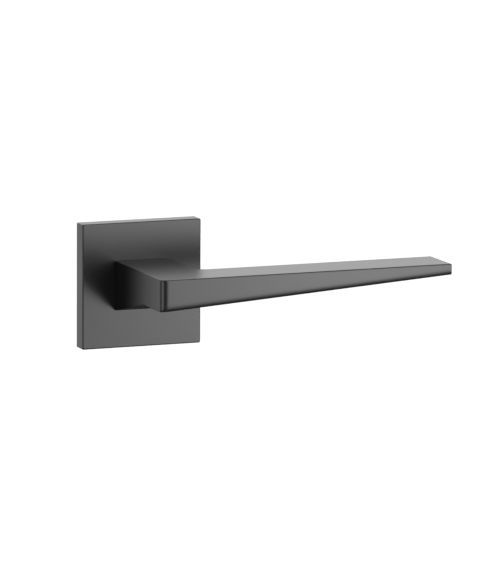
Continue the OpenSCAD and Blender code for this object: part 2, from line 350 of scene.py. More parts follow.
def turned(corners, spokes, closed=True):
    """A bmesh turned round the Y axis from (radius, y, edge radius) corners in millimetres: a closed
    ring section, or an open one that starts and ends on the axis."""
    profile, arcs = rounded_profile([(r * MM, y * MM, e * MM) for r, y, e in corners], closed)
    angles = [2 * math.pi * i / spokes for i in range(spokes)]
    loops = [[(r * math.cos(a), y, r * math.sin(a)) for a in angles] for r, y in profile]
    form, _ = skin(loops, closed, arcs)
    return turn_out(form)


def make_threaded_fasteners():
    """Geometry Nodes: cuts a thread on a body that lies along Y, and sets copies out on a grid. The
    thread fades in and out at its ends, and narrows over the taper to a sharp point."""
    point_share = 0.12
    fade_share = 0.07
    tree = bpy.data.node_groups.new("threaded_fasteners", "GeometryNodeTree")
    tree.interface.new_socket("Body", in_out="INPUT", socket_type="NodeSocketGeometry")
    sizes = ("Core Radius", "Ridge", "Turns", "Thread Start", "Thread Length", "Taper Length",
             "Spacing X", "Spacing Z")
    for label in sizes:
        tree.interface.new_socket(label, in_out="INPUT", socket_type="NodeSocketFloat")
    for label in ("Count X", "Count Z"):
        tree.interface.new_socket(label, in_out="INPUT", socket_type="NodeSocketInt")
    tree.interface.new_socket("Finish", in_out="INPUT", socket_type="NodeSocketMaterial")
    tree.interface.new_socket("Fasteners", in_out="OUTPUT", socket_type="NodeSocketGeometry")
    given = tree.nodes.new("NodeGroupInput").outputs
    result = tree.nodes.new("NodeGroupOutput").inputs
    link = tree.links.new

    helix = tree.nodes.new("GeometryNodeCurveSpiral")
    helix.inputs["Resolution"].default_value = 28
    link(given["Turns"], helix.inputs["Rotations"])
    link(given["Core Radius"], helix.inputs["Start Radius"])
    link(given["Core Radius"], helix.inputs["End Radius"])
    link(given["Thread Length"], helix.inputs["Height"])

    place = tree.nodes.new("GeometryNodeInputPosition")
    parts = tree.nodes.new("ShaderNodeSeparateXYZ")
    link(place.outputs[0], parts.inputs[0])
    taper = tree.nodes.new("ShaderNodeMapRange")
    link(parts.outputs["Z"], taper.inputs["Value"])
    taper_start = math_node(tree, "SUBTRACT", given["Thread Length"], given["Taper Length"])
    link(taper_start, taper.inputs["From Min"])
    link(math_node(tree, "ADD", given["Thread Length"], 0.001 * MM), taper.inputs["From Max"])
    taper.inputs["To Min"].default_value = 1.0
    taper.inputs["To Max"].default_value = point_share
    narrow = tree.nodes.new("ShaderNodeCombineXYZ")
    link(taper.outputs["Result"], narrow.inputs["X"])
    link(taper.outputs["Result"], narrow.inputs["Y"])
    narrow.inputs["Z"].default_value = 1.0
    scaled = tree.nodes.new("ShaderNodeVectorMath")
    scaled.operation = "MULTIPLY"
    link(place.outputs[0], scaled.inputs[0])
    link(narrow.outputs[0], scaled.inputs[1])
    tapered = tree.nodes.new("GeometryNodeSetPosition")
    link(helix.outputs["Curve"], tapered.inputs["Geometry"])
    link(scaled.outputs[0], tapered.inputs["Position"])

    level = tree.nodes.new("GeometryNodeSetCurveNormal")
    level.mode = "Z_UP"
    link(tapered.outputs["Geometry"], level.inputs["Curve"])
    along = tree.nodes.new("GeometryNodeSplineParameter")
    fade_in = tree.nodes.new("ShaderNodeMapRange")
    link(along.outputs["Factor"], fade_in.inputs["Value"])
    fade_in.inputs["From Max"].default_value = fade_share
    fade_out = tree.nodes.new("ShaderNodeMapRange")
    link(along.outputs["Factor"], fade_out.inputs["Value"])
    fade_out.inputs["From Min"].default_value = 1.0
    fade_out.inputs["From Max"].default_value = 1 - fade_share
    fade = tree.nodes.new("ShaderNodeMath")
    fade.operation = "MINIMUM"
    link(fade_in.outputs["Result"], fade.inputs[0])
    link(fade_out.outputs["Result"], fade.inputs[1])
    swell = tree.nodes.new("GeometryNodeSetCurveRadius")
    link(level.outputs["Curve"], swell.inputs["Curve"])
    link(fade.outputs[0], swell.inputs["Radius"])

    ridge = tree.nodes.new("GeometryNodeCurvePrimitiveCircle")
    ridge.inputs["Resolution"].default_value = 4
    link(given["Ridge"], ridge.inputs["Radius"])
    sweep = tree.nodes.new("GeometryNodeCurveToMesh")
    link(swell.outputs["Curve"], sweep.inputs["Curve"])
    link(ridge.outputs["Curve"], sweep.inputs["Profile Curve"])
    sweep.inputs["Fill Caps"].default_value = True
    crisp = tree.nodes.new("GeometryNodeSetShadeSmooth")
    crisp.inputs["Shade Smooth"].default_value = False
    link(sweep.outputs["Mesh"], crisp.inputs["Geometry"])
    start = tree.nodes.new("ShaderNodeCombineXYZ")
    link(given["Thread Start"], start.inputs["Y"])
    laid = tree.nodes.new("GeometryNodeTransform")
    laid.inputs["Rotation"].default_value = (-math.pi / 2, 0, 0)
    link(crisp.outputs["Geometry"], laid.inputs["Geometry"])
    link(start.outputs[0], laid.inputs["Translation"])
    whole = tree.nodes.new("GeometryNodeJoinGeometry")
    link(laid.outputs["Geometry"], whole.inputs[0])
    link(given["Body"], whole.inputs[0])

    grid = tree.nodes.new("GeometryNodeMeshGrid")
    link(given["Spacing X"], grid.inputs["Size X"])
    link(given["Spacing Z"], grid.inputs["Size Y"])
    link(given["Count X"], grid.inputs["Vertices X"])
    link(given["Count Z"], grid.inputs["Vertices Y"])
    upright = tree.nodes.new("GeometryNodeTransform")
    upright.inputs["Rotation"].default_value = (math.pi / 2, 0, 0)
    link(grid.outputs["Mesh"], upright.inputs["Geometry"])
    copies = tree.nodes.new("GeometryNodeInstanceOnPoints")
    link(upright.outputs["Geometry"], copies.inputs["Points"])
    link(whole.outputs[0], copies.inputs["Instance"])
    real = tree.nodes.new("GeometryNodeRealizeInstances")
    link(copies.outputs["Instances"], real.inputs["Geometry"])
    coated = tree.nodes.new("GeometryNodeSetMaterial")
    link(real.outputs["Geometry"], coated.inputs["Geometry"])
    link(given["Finish"], coated.inputs["Material"])
    link(coated.outputs["Geometry"], result["Fasteners"])
    return tree


threaded_fasteners = make_threaded_fasteners()


def run_tree(piece, tree, **values):
    """Runs a Geometry Nodes tree on a piece, with inputs set by name (spaces as underscores), and turns
    the result into the piece's plain mesh."""
    name = piece.name
    nodes = piece.modifiers.new("tree", "NODES")
    nodes.node_group = tree
    sockets = {item.name: item.identifier for item in tree.interface.items_tree if item.in_out == "INPUT"}
    for label, value in values.items():
        nodes[sockets[label.replace("_", " ")]] = value
    graph = bpy.context.evaluated_depsgraph_get()
    mesh = bpy.data.meshes.new_from_object(piece.evaluated_get(graph), depsgraph=graph)
    bpy.data.objects.remove(piece)
    mesh.name = name
    made = bpy.data.objects.new(name, mesh)
    bpy.context.scene.collection.objects.link(made)
    return made


posts_low, posts_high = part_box("threaded_posts")
post_radius = posts_high.z / MM
post_end = posts_high.y / MM
post_back = posts_low.y / MM
pressed_radius = 3.39
bore = 2.0
bore_end = -2.4
thread_length = 9.1
thread_pitch = 0.7
post_form = turned([(0, post_back, 0), (pressed_radius, post_back, 0.2), (pressed_radius, 0, 0),
                    (post_radius, 0, 0.1), (post_radius, post_end, 0.35), (bore, post_end, 0.25),
                    (bore, bore_end, 0), (0, bore_end, 0)], spokes=64, closed=False)
posts = run_tree(finish_form(post_form, "posts", plated_steel), threaded_fasteners,
                 Core_Radius=bore * MM, Ridge=0.35 * MM, Turns=thread_length / thread_pitch,
                 Thread_Start=(bore_end + 0.2) * MM, Thread_Length=thread_length * MM,
                 Taper_Length=0.0, Spacing_X=2 * (posts_high.x - posts_high.z), Spacing_Z=0.0,
                 Count_X=2, Count_Z=1, Finish=plated_steel)
hand_in(posts, "rose", "threaded_posts")


# ---------- Bearing bush ----------
# The flanged sleeve that the lever's tenon turns in. It is moulded in white acetal, and pressed into
# the under-rose from the front.

white_acetal = finish_coat("white_acetal", low=(0.74, 0.73, 0.69), high=(0.86, 0.85, 0.81),
                           gloss=0.42, spread=0.08, grain_scale=1500.0, grain_depth=0.000008,
                           rub=0.2, patch_scale=120.0, metallic=0.0)
bush_front = -5.5
bush_end = -2.95
flange_back = -4.75
bush_bore = 8.95
sleeve_radius = 10.18
flange_radius = 11.45
bush_form = turned([(bush_bore, bush_front, 0.25), (flange_radius, bush_front, 0.2),
                    (flange_radius, flange_back, 0.12), (sleeve_radius, flange_back, 0),
                    (sleeve_radius, bush_end, 0.25), (bush_bore, bush_end, 0.25)], spokes=96)
bush = finish_form(bush_form, "bush", white_acetal)
hand_in(bush, "rose", "bearing_bush")


# ---------- Stop pins ----------
# Two short dowels of bright drawn steel, driven into the under-rose. The hub's lug comes up against
# them when the lever is level and when it is fully down.

def make_drawn_lines():
    """Fine lines along Y, as a drawing die leaves them."""
    group, given, result = new_group(
        "drawn_lines",
        [("Line Scale", "NodeSocketFloat", 4200.0), ("Stretch", "NodeSocketFloat", 0.02)],
        [("Height", "NodeSocketFloat")])
    place = group.nodes.new("ShaderNodeTexCoord").outputs["Object"]
    parts = group.nodes.new("ShaderNodeSeparateXYZ")
    group.links.new(place, parts.inputs[0])
    long = group.nodes.new("ShaderNodeCombineXYZ")
    group.links.new(parts.outputs["X"], long.inputs["X"])
    group.links.new(math_node(group, "MULTIPLY", parts.outputs["Y"], given.outputs["Stretch"]),
                    long.inputs["Y"])
    group.links.new(parts.outputs["Z"], long.inputs["Z"])
    lines = noise_node(group, long.outputs[0], given.outputs["Line Scale"], 2.0, 0.6)
    group.links.new(lines, result.inputs["Height"])
    return group


drawn_lines = make_drawn_lines()
bright_steel = finish_coat("bright_steel", low=(0.50, 0.50, 0.50), high=(0.68, 0.68, 0.67),
                           gloss=0.30, spread=0.10, grain_scale=5000.0, grain_depth=0.000003,
                           rub=0.4, patch_scale=200.0, marks=drawn_lines, mark_depth=0.000012)
pins = finish_form(soften("stop_pins", 0.2 * MM, segments=3), "pins", bright_steel)
hand_in(pins, "rose", "stop_pins")


# ---------- Spring cup ----------
# A shallow cup drawn from plated sheet steel, with a cut-down flange. It holds the return spring, and
# the spring's fixed leg stands in a window in its wall.

cup_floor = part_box("spring_cup")[1].y
cup_inside = 12 * MM
drawn_edge = 0.4 * MM
cut_edge = 0.1 * MM


def cup_edge(middle):
    """Where the wall was drawn up from the floor the edge is round, and the cut edges are crisp."""
    on_floor = middle.y > cup_floor - 0.01 * MM
    on_wall = math.hypot(middle.x, middle.z) > cup_inside
    return drawn_edge if on_floor and on_wall else cut_edge


cup = finish_form(soften("spring_cup", cup_edge, segments=3), "cup", plated_steel)
hand_in(cup, "rose", "spring_cup")


# ---------- Cup screws ----------
# Four countersunk M2.5 thread-forming screws with a cross recess, in zinc-plated steel. They hold the
# spring cup's flange to the under-rose.

def combined(form, other, operation="DIFFERENCE"):
    """The bmesh after a boolean with another closed one."""
    same_point = 0.0008 * MM
    no_length = 0.0005 * MM
    base = object_from(form, "base")
    tool = object_from(other, "tool")
    step = base.modifiers.new("step", "BOOLEAN")
    step.operation = operation
    step.solver = "EXACT"
    step.object = tool
    made = result_of(base)
    bpy.data.objects.remove(tool)
    bmesh.ops.remove_doubles(made, verts=made.verts, dist=same_point)
    bmesh.ops.dissolve_degenerate(made, edges=made.edges, dist=no_length)
    return made


def cross_recess(y, arm, width, depth):
    """The cutter for a cross recess that opens at y and goes depth along Y, in millimetres."""
    half = width / 2
    cross = []
    for turn in range(4):
        a = turn * math.pi / 2
        for across, along in ((arm, -half), (arm, half), (half, half)):
            cross.append((across * math.cos(a) - along * math.sin(a),
                          across * math.sin(a) + along * math.cos(a)))
    clear = math.copysign(0.3, depth)
    taper = 0.45
    loops = [[(x * scale * MM, level * MM, z * scale * MM) for x, z in cross]
             for level, scale in ((y - clear, 1.0), (y, 1.0), (y + depth, taper))]
    form, rings = skin(loops, close=False)
    form.faces.new(rings[0])
    form.faces.new(rings[-1])
    return turn_out(form)


cup_screws_low, cup_screws_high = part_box("cup_screws")
screw_end = cup_screws_low.y / MM
screw_head = cup_screws_high.y / MM
screw_head_radius = 1.95
screw_core = 0.95
under_head = -1.25
screw_form = turned([(0, screw_end, 0), (screw_core, screw_end, 0.2), (screw_core, under_head, 0),
                     (screw_head_radius, screw_head - 0.15, 0), (screw_head_radius, screw_head, 0.06),
                     (0, screw_head, 0)], spokes=40, closed=False)
screw_form = combined(screw_form, cross_recess(screw_head, arm=1.05, width=0.42, depth=-0.8))
cup_screws = run_tree(finish_form(screw_form, "small_screws", plated_steel), threaded_fasteners,
                      Core_Radius=screw_core * MM, Ridge=0.27 * MM, Turns=5.5,
                      Thread_Start=(screw_end + 0.28) * MM, Thread_Length=2.4 * MM,
                      Taper_Length=0.0, Spacing_X=2 * (cup_screws_high.x - screw_head_radius * MM),
                      Spacing_Z=2 * (cup_screws_high.z - screw_head_radius * MM),
                      Count_X=2, Count_Z=2, Finish=plated_steel)
hand_in(cup_screws, "rose", "cup_screws")


# ---------- Return spring ----------
# A torsion spring coiled from oiled round wire, with a leg in the cup's window and a leg in the
# hub's slot. It winds up as the lever goes down, and lifts it again.

def make_wire_along_path():
    """Geometry Nodes: bends a round wire along a path."""
    tree = bpy.data.node_groups.new("wire_along_path", "GeometryNodeTree")
    tree.interface.new_socket("Path", in_out="INPUT", socket_type="NodeSocketGeometry")
    tree.interface.new_socket("Wire Radius", in_out="INPUT", socket_type="NodeSocketFloat")
    tree.interface.new_socket("Sides", in_out="INPUT", socket_type="NodeSocketInt")
    tree.interface.new_socket("Finish", in_out="INPUT", socket_type="NodeSocketMaterial")
    tree.interface.new_socket("Wire", in_out="OUTPUT", socket_type="NodeSocketGeometry")
    given = tree.nodes.new("NodeGroupInput").outputs
    result = tree.nodes.new("NodeGroupOutput").inputs
    link = tree.links.new
    curve = tree.nodes.new("GeometryNodeMeshToCurve")
    link(given["Path"], curve.inputs["Mesh"])
    section = tree.nodes.new("GeometryNodeCurvePrimitiveCircle")
    link(given["Sides"], section.inputs["Resolution"])
    link(given["Wire Radius"], section.inputs["Radius"])
    sweep = tree.nodes.new("GeometryNodeCurveToMesh")
    link(curve.outputs["Curve"], sweep.inputs["Curve"])
    link(section.outputs["Curve"], sweep.inputs["Profile Curve"])
    sweep.inputs["Fill Caps"].default_value = True
    real = tree.nodes.new("GeometryNodeRealizeInstances")
    link(sweep.outputs["Mesh"], real.inputs["Geometry"])
    coated = tree.nodes.new("GeometryNodeSetMaterial")
    link(real.outputs["Geometry"], coated.inputs["Geometry"])
    link(given["Finish"], coated.inputs["Material"])
    link(coated.outputs["Geometry"], result["Wire"])
    return tree


def coil_point(radius, angle, y):
    """A point round the Y axis, with the radius and y in millimetres and the angle in degrees."""
    a = math.radians(angle)
    return Vector((radius * math.cos(a), y, radius * math.sin(a))) * MM


def bend_between(start, corner, end, steps=6):
    """Points of a soft bend from start to end round a corner, without the ends."""
    points = []
    for k in range(1, steps):
        t = k / steps
        points.append(start * (1 - t) ** 2 + corner * 2 * t * (1 - t) + end * t ** 2)
    return points


spring_steel = finish_coat("spring_steel", low=(0.19, 0.20, 0.22), high=(0.34, 0.35, 0.37),
                           gloss=0.30, spread=0.12, grain_scale=4200.0, grain_depth=0.000006,
                           rub=0.3, patch_scale=240.0)
wire_radius = 0.65
coil_radius = 9.8
spring_turns = 3.25
spring_pitch = 1.45
first_angle = 270.0
last_angle = first_angle + 360 * spring_turns
first_y = -0.3
last_y = first_y + spring_pitch * spring_turns
bend_angle = 8.0
moving_leg_end, moving_leg_bend = 6.6, 8.4
fixed_leg_bend, fixed_leg_end = 11.2, 12.4


def coil_at(angle):
    """The middle of the wire at an angle along the coil."""
    share = (angle - first_angle) / (last_angle - first_angle)
    return coil_point(coil_radius, angle, first_y + (last_y - first_y) * share)


route = [coil_point(r, first_angle, first_y) for r in (moving_leg_end, moving_leg_bend)]
route += bend_between(route[-1], coil_at(first_angle), coil_at(first_angle + bend_angle))
coil_steps = 190
for k in range(coil_steps + 1):
    share = k / coil_steps
    route.append(coil_at(first_angle + bend_angle + (last_angle - first_angle - 2 * bend_angle) * share))
fixed_leg = [coil_point(r, last_angle, last_y) for r in (fixed_leg_bend, fixed_leg_end)]
route += bend_between(route[-1], coil_at(last_angle), fixed_leg[0]) + fixed_leg
path = bmesh.new()
path_points = [path.verts.new(point) for point in route]
for here, there in zip(path_points, path_points[1:]):
    path.edges.new((here, there))
spring = run_tree(object_from(path, "spring"), make_wire_along_path(), Wire_Radius=wire_radius * MM,
                  Sides=16, Finish=spring_steel)
# The wire is smooth, and its cut ends are flat
for face in spring.data.polygons:
    face.use_smooth = len(face.vertices) == 4
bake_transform(spring)
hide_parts("return_spring")


# ---------- Cover clips ----------
# Four bowed strips of spring steel in notches in the under-rose's rim, which press outwards on the
# cover's skirt and hold it on.

clips = finish_form(soften("cover_clips", 0.08 * MM), "clips", spring_steel)
hand_in(clips, "rose", "cover_clips")


# ---------- Cover ring ----------
# A thin ring moulded in black nylon, snapped into the cover's hole so that the lever's tenon never
# rubs on the finish.

black_nylon = finish_coat("black_nylon", low=(0.022, 0.022, 0.024), high=(0.045, 0.045, 0.048),
                          gloss=0.55, spread=0.08, grain_scale=2200.0, grain_depth=0.00001,
                          rub=0.2, patch_scale=150.0, metallic=0.0)


def ring_section(inner, outer, front, back, edge):
    """The corners of a plain ring's section for turned, in millimetres."""
    return [(inner, front, edge), (outer, front, edge), (outer, back, edge), (inner, back, edge)]


ring_form = turned(ring_section(inner=9.0, outer=9.85, front=-6.95, back=-5.6, edge=0.15), spokes=96)
cover_ring = finish_form(ring_form, "trim_ring", black_nylon)
hand_in(cover_ring, "rose", "cover_ring")


# ---------- Wood screws ----------
# Four countersunk wood screws in yellow zinc-plated steel, through the under-rose's corners into the
# door. Each has a cross recess, a smooth shank, a coarse rolled thread and a gimlet point.

yellow_plated_steel = finish_coat("yellow_plated_steel", low=(0.60, 0.47, 0.20), high=(0.82, 0.66, 0.42),
                                  gloss=0.28, spread=0.10, grain_scale=3600.0, grain_depth=0.000006,
                                  rub=0.4, patch_scale=340.0)
wood_low, wood_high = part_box("wood_screws")
wood_head = wood_low.y / MM
wood_tip = wood_high.y / MM
wood_head_radius = 3.3
wood_shank = 1.55
wood_core = 1.12
wood_point = 4
shank_end = -1.6
thread_from = -1.3
wood_form = turned([(0, wood_head, 0), (wood_head_radius, wood_head, 0.06),
                    (wood_head_radius, wood_head + 0.15, 0), (wood_shank, wood_head + 1.9, 0),
                    (wood_shank, shank_end, 0), (wood_core, shank_end + 0.4, 0),
                    (wood_core, wood_tip - wood_point, 0), (0, wood_tip, 0)],
                   spokes=48, closed=False)
wood_form = combined(wood_form, cross_recess(wood_head, arm=1.8, width=0.62, depth=1.5))
wood_screws = run_tree(finish_form(wood_form, "corner_screws", yellow_plated_steel),
                       threaded_fasteners, Core_Radius=wood_core * MM, Ridge=0.46 * MM, Turns=9.0,
                       Thread_Start=thread_from * MM, Thread_Length=13.0 * MM, Taper_Length=3.7 * MM,
                       Spacing_X=2 * (wood_high.x - wood_head_radius * MM),
                       Spacing_Z=2 * (wood_high.z - wood_head_radius * MM), Count_X=2, Count_Z=2,
                       Finish=yellow_plated_steel)
hand_in(wood_screws, "rose", "wood_screws")


# ---------- Rose cover ----------
# The square shell that hides the under-rose: pressed in one piece, with crisp edges, then given the
# same satin graphite finish as the lever. It snaps over four clips and its skirt meets the door.

graphite = finish_coat("satin_graphite", low=(0.150, 0.150, 0.153), high=(0.185, 0.185, 0.189),
                       gloss=0.35, spread=0.03, grain_scale=5200.0, grain_depth=0.0000035, rub=0.10)


def square_loop(half, corner, y, side_steps=24, corner_steps=8):
    """A square with rounded corners round the Y axis, as points in order."""
    points = []
    run = half - corner
    for turn in range(4):
        a = turn * math.pi / 2
        across = (math.cos(a), math.sin(a))
        along = (-math.sin(a), math.cos(a))
        flat = [(half, -run + 2 * run * i / side_steps) for i in range(side_steps)]
        bend = [math.pi / 2 * i / corner_steps for i in range(corner_steps)]
        flat += [(run + corner * math.cos(b), run + corner * math.sin(b)) for b in bend]
        points += [(u * across[0] + v * along[0], y, u * across[1] + v * along[1]) for u, v in flat]
    return points


def circle_loop(radius, y, count=128):
    """A circle round the Y axis, its points in step with those of square_loop."""
    angles = [-math.pi / 4 + 2 * math.pi * i / count for i in range(count)]
    return [(radius * math.cos(a), y, radius * math.sin(a)) for a in angles]


def quarter(steps, power=2.0):
    """Sine and cosine round a quarter turn, for the arc of an edge. A power over 2 makes the arc start
    and end more gently, as hand linishing does."""
    angles = [math.pi / 2 * i / steps for i in range(steps + 1)]
    return [(math.sin(a) ** (2 / power), max(math.cos(a), 0.0) ** (2 / power)) for a in angles]


cover_low, cover_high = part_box("rose_cover")
cover_half = cover_high.x
cover_front = cover_low.y
cover_wall = 1.4 * MM
cover_hole = 9.9 * MM
outer_edge = 0.55 * MM
hole_edge = 0.15 * MM
outer_corner = 0.7 * MM
skirt_corner = 0.6 * MM
inner_corner = 0.5 * MM
inner_fillet = 0.3 * MM
inner_half = cover_half - cover_wall
cover_loops = [circle_loop(cover_hole, cover_front + cover_wall)]
cover_loops += [circle_loop(cover_hole + hole_edge * (1 - c), cover_front + hole_edge * (1 - s))
                for s, c in quarter(3)]
cover_loops += [square_loop(cover_half - outer_edge * (1 - s), outer_corner * (1 + s) / 2,
                            cover_front + outer_edge * (1 - c)) for s, c in quarter(6)]
cover_loops += [square_loop(cover_half - hole_edge * (1 - c), skirt_corner, -hole_edge * (1 - s))
                for s, c in quarter(3)]
cover_loops += [square_loop(inner_half, inner_corner, 0),
                square_loop(inner_half, inner_corner, cover_front + cover_wall + inner_fillet),
                square_loop(inner_half - inner_fillet, inner_fillet, cover_front + cover_wall)]
cover_form, _ = skin(cover_loops, rounded={1, 2, 3, 5, 6, 7, 8, 9, 10, 12, 13, 14})
cover = finish_form(turn_out(cover_form), "cover", graphite)
hand_in(cover, "rose", "rose_cover")


# ---------- Lever ----------
# The lever is one zinc casting: a tapered flat grip, a square neck and the round tenon that turns in
# the rose. Its edges are linished to different radii, then it is given the satin graphite finish.

lever_low, lever_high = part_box("lever")
neck_half = -lever_low.x
grip_front = lever_low.y
grip_depth = 21.4 * MM
grip_back = grip_front + grip_depth
rose_gap = 0.3 * MM
neck_back = cover_front - rose_gap
grip_drop = -3.0 * MM
tip_rise = 5.6 * MM
neck_drop = lever_low.z
top_edge = 0.55 * MM
front_radius = 3.3 * MM
tip_front_radius = 0.4 * MM
tip_back_radius = 0.6 * MM
elbow_radius = 5 * MM
back_radius = 0.2 * MM
sharp_corner = 0.03 * MM

# Corners of the outline from above, against the clock: place, radius, and whether it is hollow
corners = [((-neck_half, neck_back), back_radius, False), ((-neck_half, grip_front), front_radius, False),
           ((lever_high.x, grip_front), tip_front_radius, False),
           ((lever_high.x, grip_back), tip_back_radius, False),
           ((neck_half, grip_back), elbow_radius, True), ((neck_half, neck_back), back_radius, False)]
# The side that starts at each corner: its outward direction, its lower edge's height, and its steps.
# A lower edge reaches a quarter as far in under the lever as it does up its side.
lean = 0.25
front_edge = 3.4 * MM
tip_edge = 0.6 * MM
back_edge = 1.5 * MM
neck_edge = 0.7 * MM
rose_edge = 0.1 * MM
neck_steps = 14
sides = [((-1, 0), neck_edge, 12), ((0, -1), front_edge, 40), ((1, 0), tip_edge, 6),
         ((0, 1), back_edge, 24), ((1, 0), neck_edge, neck_steps), ((0, 1), rose_edge, 10)]
arc_steps = 14
crease_step = 7
linished = 2.6
# Places along the neck where its two sides have a point each, from the rose to the slope's foot
bend_start = grip_back - back_edge * lean
bend_radius = elbow_radius + neck_edge * lean
neck_top = neck_back - back_radius
neck_rows = [neck_top + (bend_start + bend_radius - neck_top) * k / neck_steps
             for k in range(neck_steps + 1)]
neck_rows += [bend_start + bend_radius * (1 - math.cos(math.pi / 2 * k / arc_steps))
              for k in range(arc_steps - 1, crease_step, -1)]
neck_rows.append(grip_back)


def underside(x, y):
    """Height of the lever's underside: the grip's slope, and the neck's slope down to the rose."""
    grip = grip_drop + (tip_rise - grip_drop) * (x + neck_half) / (lever_high.x + neck_half)
    share = max(0.0, (y - grip_back) / (neck_back - grip_back))
    return grip + (neck_drop - grip) * share


def corner_arc(number, inset_of):
    """The points round one corner of the outline, with the lower edge's height at each."""
    (x, y), radius, hollow = corners[number]
    before, edge_before, _ = sides[number - 1]
    after, edge_after, _ = sides[number]
    in_before = inset_of(edge_before)
    in_after = inset_of(edge_after)
    x -= before[0] * in_before + after[0] * in_after
    y -= before[1] * in_before + after[1] * in_after
    least = min(in_before, in_after)
    radius = radius + least if hollow else max(radius - least, sharp_corner)
    way = 1 if hollow else -1
    middle_x = x + way * radius * (before[0] + after[0])
    middle_y = y + way * radius * (before[1] + after[1])
    points = []
    for k, (s, c) in enumerate(quarter(arc_steps, 2.0 if hollow else linished)):
        out_x = before[0] * c + after[0] * s
        out_y = before[1] * c + after[1] * s
        edge = edge_before + (edge_after - edge_before) * k / arc_steps
        points.append((middle_x - way * radius * out_x, middle_y - way * radius * out_y, edge))
    return points


def outline(inset_of):
    """The lever's outline with each side moved in by inset_of(its lower edge's height): points of
    (x, y, lower edge's height)."""
    arcs = [corner_arc(number, inset_of) for number in range(len(corners))]
    points = []
    for number, arc in enumerate(arcs):
        _, edge, steps = sides[number]
        points += arc
        x, y, _ = arc[-1]
        if number == 0:
            points += [(x, row, edge) for row in neck_rows[1:]]
            y = neck_rows[-1]
        next_x, next_y, _ = arcs[(number + 1) % len(arcs)][0]
        points += [(x + (next_x - x) * k / steps, y + (next_y - y) * k / steps, edge)
                   for k in range(1, steps)]
    return points


lever_loops = []
for s, c in quarter(5):
    ring = outline(lambda edge: top_edge * (1 - s))
    lever_loops.append([(x, y, lever_high.z - top_edge * (1 - c)) for x, y, _ in ring])
top_bands = len(lever_loops) - 1
for s, c in quarter(12, linished):
    ring = outline(lambda edge: edge * lean * (1 - c))
    lever_loops.append([(x, y, underside(x, y) + edge * (1 - s)) for x, y, edge in ring])
rim = set(range(len(lever_loops) - 1)) - {top_bands}
lever_form, lever_rings = skin(lever_loops, close=False, rounded=rim)
lever_form.faces.new(lever_rings[0])

# The underside: rows across the neck's slope, then the strip at the rose, then the grip
low_ring = lever_rings[-1]
neck_start = arc_steps
neck_end = neck_start + len(neck_rows) - 1
elbow = neck_end + sum(steps + arc_steps for _, _, steps in sides[:3]) + sides[3][2]
rows = len(neck_rows) - 1
foot = elbow + crease_step
for k in range(rows):
    lever_form.faces.new((low_ring[neck_end - k], low_ring[foot + k], low_ring[foot + k + 1],
                          low_ring[neck_end - k - 1]))
lever_form.faces.new(low_ring[foot + rows:] + low_ring[:neck_start + 1])
lever_form.faces.new(low_ring[neck_end:foot + 1])
lever_form.edges.get((low_ring[neck_end], low_ring[foot])).smooth = False
turn_out(lever_form)

# The tenon, the spindle's square socket, and the hole for the grub screw
tenon_start = -12
tenon_end = lever_high.y / MM
tenon_radius = 8.9
tenon_form = turned([(0, tenon_start, 0), (tenon_radius, tenon_start, 0), (tenon_radius, tenon_end, 0.3),
                     (0, tenon_end, 0)], spokes=128, closed=False)
lever_form = combined(lever_form, tenon_form, "UNION")
socket_half = 4.05 * MM
socket_corner = 0.2 * MM
socket_start = -26.8
socket_loops = [square_loop(socket_half, socket_corner, y * MM, side_steps=2, corner_steps=4)
                for y in (socket_start, tenon_end + 2)]
socket_form, socket_rings = skin(socket_loops, close=False)
socket_form.faces.new(socket_rings[0])
socket_form.faces.new(socket_rings[1])
lever_form = combined(lever_form, turn_out(socket_form))
grub_y = -15
hole_radius = 2.5
hole_start = 1
hole_end = 14
grub_hole = turned([(0, hole_start, 0), (hole_radius, hole_start, 0), (hole_radius, hole_end, 0),
                    (0, hole_end, 0)], spokes=48, closed=False)
grub_stand = Matrix.Translation((0, grub_y * MM, 0)) @ Matrix.Rotation(-math.pi / 2, 4, "X")
grub_hole.transform(grub_stand)
lever_form = combined(lever_form, grub_hole)
lever = finish_form(lever_form, "lever_casting", graphite)
hand_in(lever, "handle", "lever")


# ---------- Grub screw ----------
# An M5 set screw with a hexagon socket, in blackened steel. It clamps the spindle in the lever's
# socket from below.

black_steel = finish_coat("black_steel", low=(0.035, 0.035, 0.038), high=(0.085, 0.085, 0.09),
                          gloss=0.42, spread=0.12, grain_scale=3000.0, grain_depth=0.000008,
                          rub=0.5, patch_scale=260.0)
grub_low, grub_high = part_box("grub_screw")
near = -grub_high.z / MM
far = -grub_low.z / MM
grub_core = 2.05
point_radius = 1.3
point_length = 0.7
key_radius = 1.45
key_floor = far - 2.2
grub_form = turned([(0, near, 0), (point_radius, near, 0.1), (grub_core, near + point_length, 0),
                    (grub_core, far, 0.25), (0, far, 0)], spokes=48, closed=False)
hexagon = turned([(0, key_floor, 0), (key_radius, key_floor, 0), (key_radius, far + 1, 0), (0, far + 1, 0)],
                 spokes=6, closed=False)
grub = run_tree(finish_form(combined(grub_form, hexagon), "grub", black_steel), threaded_fasteners,
                Core_Radius=grub_core * MM, Ridge=0.38 * MM, Turns=4.4,
                Thread_Start=(near + point_length) * MM, Thread_Length=(far - near - 1.1) * MM,
                Taper_Length=0.0, Spacing_X=0.0, Spacing_Z=0.0, Count_X=1, Count_Z=1,
                Finish=black_steel)
grub.data.transform(grub_stand)
hand_in(grub, "handle", "grub_screw")


# ---------- Spindle ----------
# An 8 mm square bar of bright drawn steel with broken corners. It joins the lever to the latch and to
# the lever on the door's other side.

